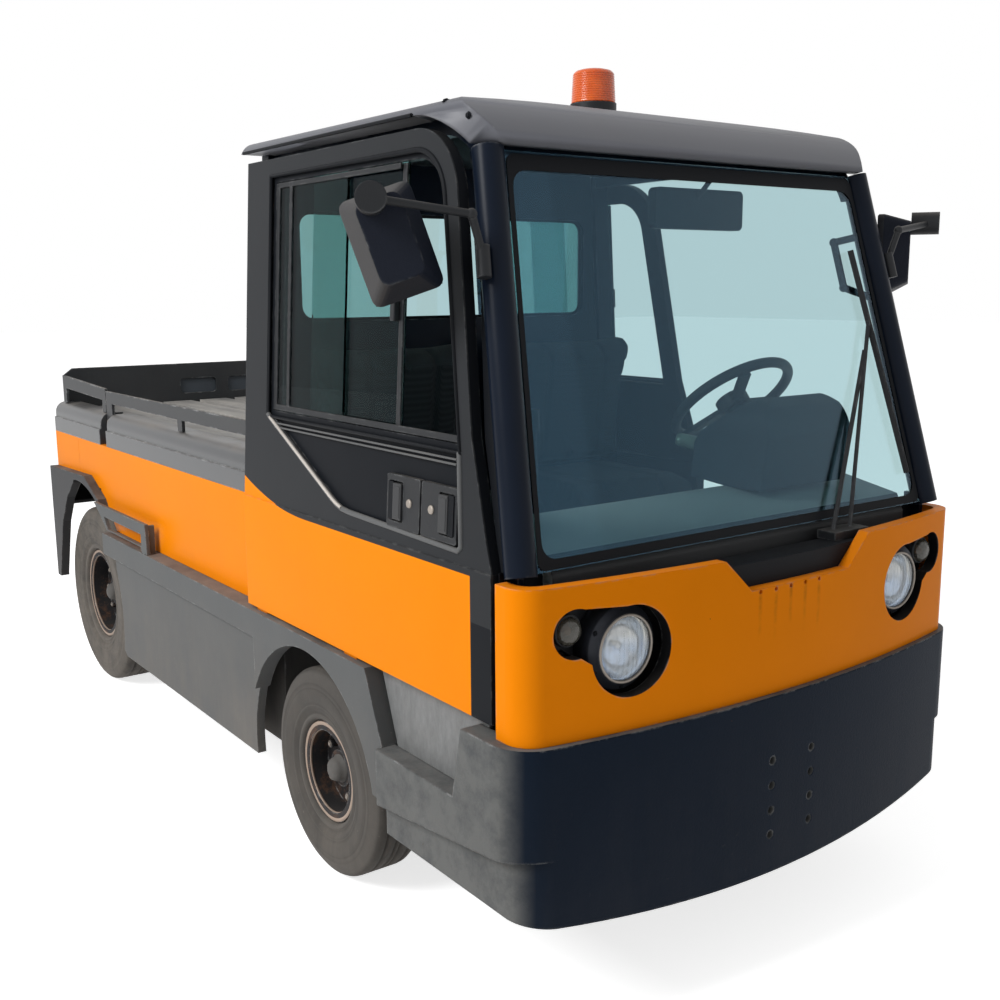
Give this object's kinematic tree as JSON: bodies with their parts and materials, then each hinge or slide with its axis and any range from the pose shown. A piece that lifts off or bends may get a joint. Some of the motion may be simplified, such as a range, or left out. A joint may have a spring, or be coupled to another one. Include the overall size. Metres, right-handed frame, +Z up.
{
  "type": "electric tow tractor",
  "caption": "Cab-over electric tow tractor with sliding doors, bowed cast bumper with coupling holes, railed slatted rear deck and rear drawbar jaw.",
  "frame": {"origin": "middle of the overall box on the ground under the tyres", "axes": "+X forward, +Y to the left side, +Z up"},
  "size_m": [3.309, 1.7674, 2.004],
  "materials": {
    "orange_paint": "sun-faded gloss orange",
    "dark_paint": "satin dark grey",
    "bumper_iron": "painted near black",
    "frame_paint": "gloss blue-black",
    "black_plastic": "grained",
    "worn_panel": "worn grey",
    "deck_metal": "scuffed grey",
    "battery_case": "satin",
    "drive_iron": "dusty",
    "lamp_glass": "clear, ribbed",
    "red_lens": "red lens",
    "amber_lens": "amber lens",
    "window_glass": "green tint",
    "roof_plastic": "dusty brown-grey",
    "dash_plastic": "grained blue-grey",
    "seat_fabric": "dark woven",
    "tyre": "dusty",
    "rim_steel": "worn paint with rust"
  },
  "bodies": {
    "chassis": {"chassis_frame": "frame_paint", "battery_block": "battery_case", "drive_unit": "drive_iron", "front_axle": "frame_paint", "cab_floor": "frame_paint", "front_bumper": "bumper_iron", "front_panel": "orange_paint", "lamp_pods": "black_plastic", "headlamps": "lamp_glass", "indicators": "lamp_glass", "step_panels": "worn_panel", "skirt_right": "dark_paint", "skirt_left": "dark_paint", "rear_fenders": "dark_paint", "door_guards": "dark_paint", "side_panels": "orange_paint", "rear_cover": "orange_paint", "deck_shoulders": "black_plastic", "deck_plate": "deck_metal", "deck_rails": "dark_paint", "rear_lamps": "red_lens", "tow_coupling": "drive_iron", "cab_frame": "frame_paint", "cab_rear_wall": "frame_paint", "rear_window": "window_glass", "roof": "roof_plastic", "windscreen": "window_glass", "cowl": "black_plastic", "dashboard": "dash_plastic", "steering_pod": "dash_plastic", "seat_bases": "frame_paint", "seat_cushions": "seat_fabric", "seat_backs": "seat_fabric", "control_lever": "black_plastic", "wiper": "black_plastic", "cab_mirror": "black_plastic", "mirror_arms": "frame_paint", "mirror_heads": "black_plastic", "beacon_base": "black_plastic", "beacon_lens": "amber_lens"},
    "right_door": {"door_right": "orange_paint", "door_right_glass": "window_glass", "door_right_latches": "black_plastic"},
    "left_door": {"door_left": "orange_paint", "door_left_glass": "window_glass", "door_left_latches": "black_plastic"},
    "steering_wheel": {"steering_wheel": "black_plastic"},
    "right_knuckle": {"knuckle_right": "drive_iron"},
    "left_knuckle": {"knuckle_left": "drive_iron"},
    "front_right_wheel": {"tyre_front_right": "tyre", "rim_front_right": "rim_steel"},
    "front_left_wheel": {"tyre_front_left": "tyre", "rim_front_left": "rim_steel"},
    "rear_right_wheel": {"tyre_rear_right": "tyre", "rim_rear_right": "rim_steel"},
    "rear_left_wheel": {"tyre_rear_left": "tyre", "rim_rear_left": "rim_steel"}
  },
  "joints": [
    {"name": "steer_right", "type": "hinge", "parent": "chassis", "child": "right_knuckle", "pos_m": [0.6895, -0.5, 0.27], "axis": [0, 0, 1], "range_deg": [-38, 38]},
    {"name": "steer_left", "type": "hinge", "parent": "chassis", "child": "left_knuckle", "pos_m": [0.6895, 0.5, 0.27], "axis": [0, 0, 1], "range_deg": [-38, 38]},
    {"name": "steering_wheel_turn", "type": "hinge", "parent": "chassis", "child": "steering_wheel", "pos_m": [1.1695, 0.3, 1.2], "axis": [-0.6428, 0, 0.766], "range_deg": [-540, 540]},
    {"name": "spin_front_right", "type": "hinge", "parent": "right_knuckle", "child": "front_right_wheel", "pos_m": [0.6895, -0.573, 0.27], "axis": [0, 1, 0], "continuous": true},
    {"name": "spin_front_left", "type": "hinge", "parent": "left_knuckle", "child": "front_left_wheel", "pos_m": [0.6895, 0.573, 0.27], "axis": [0, 1, 0], "continuous": true},
    {"name": "spin_rear_right", "type": "hinge", "parent": "chassis", "child": "rear_right_wheel", "pos_m": [-1.2035, -0.529, 0.335], "axis": [0, 1, 0], "continuous": true},
    {"name": "spin_rear_left", "type": "hinge", "parent": "chassis", "child": "rear_left_wheel", "pos_m": [-1.2035, 0.529, 0.335], "axis": [0, 1, 0], "continuous": true},
    {"name": "right_door_slide", "type": "slide", "parent": "chassis", "child": "right_door", "axis": [-1, 0, 0], "range_m": [0, 0.76]},
    {"name": "left_door_slide", "type": "slide", "parent": "chassis", "child": "left_door", "axis": [1, 0, 0], "range_m": [0, 0.76]}
  ],
  "couplings": [
    {"joint": "steer_left", "follows": "steer_right", "ratio": 1},
    {"joint": "steering_wheel_turn", "follows": "steer_right", "ratio": 14}
  ]
}
